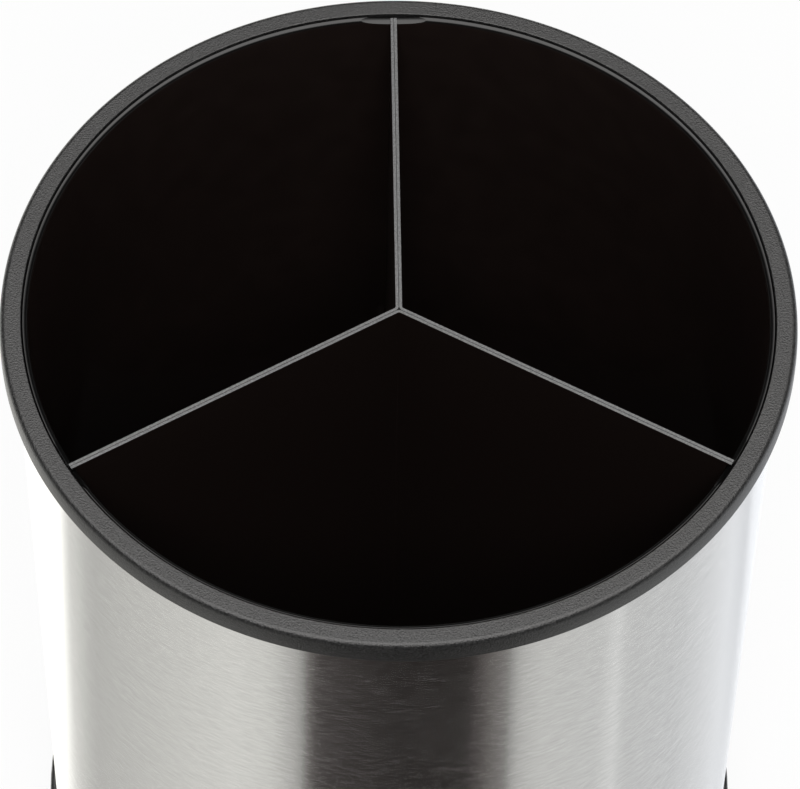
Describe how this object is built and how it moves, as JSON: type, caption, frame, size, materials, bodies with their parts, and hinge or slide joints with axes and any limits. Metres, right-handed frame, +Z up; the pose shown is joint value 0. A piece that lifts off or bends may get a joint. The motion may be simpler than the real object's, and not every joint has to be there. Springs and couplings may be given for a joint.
{
  "type": "utensil crock",
  "caption": "Round brushed-steel utensil crock on a turning weighted base, with a matt black rim, a lift-out liner and a lift-out divider that splits it into compartments.",
  "frame": {"origin": "on the counter, under the middle of the crock", "axes": "+Z up along the crock's axis, +Y along the divider fin at the back, -Y through the middle of the front compartment"},
  "size_m": [0.1578, 0.1578, 0.192],
  "materials": {
    "sleeve_steel": "brushed around the cup",
    "rim_plastic": "moulded with a fine matt grain",
    "liner_plastic": "gloss black",
    "divider_sheet": "satin black coating",
    "base_plastic": "moulded with a fine matt grain",
    "foot_rubber": "soft matt",
    "mat_rubber": "soft matt with ring grooves",
    "plated_steel": "bright zinc plate",
    "ball_steel": "polished",
    "cage_plastic": "natural, slightly waxy",
    "ballast_iron": "as cast, oiled"
  },
  "bodies": {
    "base": {"foot_ring": "foot_rubber", "base_cover": "base_plastic", "base_weight": "ballast_iron", "base_shell": "base_plastic", "cover_screws": "plated_steel", "lower_race": "plated_steel", "lower_race_screws": "plated_steel", "pivot_bolt": "plated_steel", "pivot_washer": "cage_plastic", "pivot_nut": "plated_steel"},
    "bearing": {"ball_cage": "cage_plastic", "bearing_balls": "ball_steel"},
    "cup": {"turntable": "base_plastic", "upper_race": "plated_steel", "upper_race_screws": "plated_steel", "steel_sleeve": "sleeve_steel", "rim_ring": "rim_plastic"},
    "liner_bucket": {"liner": "liner_plastic", "grip_mat": "mat_rubber"},
    "divider": {"divider_panel_front": "divider_sheet", "divider_panel_right": "divider_sheet", "divider_panel_left": "divider_sheet"}
  },
  "joints": [
    {"name": "cup_spin", "type": "hinge", "parent": "base", "child": "cup", "pos_m": [0, 0, 0.014], "axis": [0, 0, 1], "continuous": true},
    {"name": "cage_spin", "type": "hinge", "parent": "base", "child": "bearing", "pos_m": [0, 0, 0.014], "axis": [0, 0, 1], "continuous": true},
    {"name": "liner_lift", "type": "slide", "parent": "cup", "child": "liner_bucket", "axis": [0, 0, 1], "range_m": [0, 0.175]},
    {"name": "divider_lift", "type": "slide", "parent": "liner_bucket", "child": "divider", "axis": [0, 0, 1], "range_m": [0, 0.172]}
  ],
  "couplings": [
    {"joint": "cage_spin", "follows": "cup_spin", "ratio": 0.5}
  ]
}
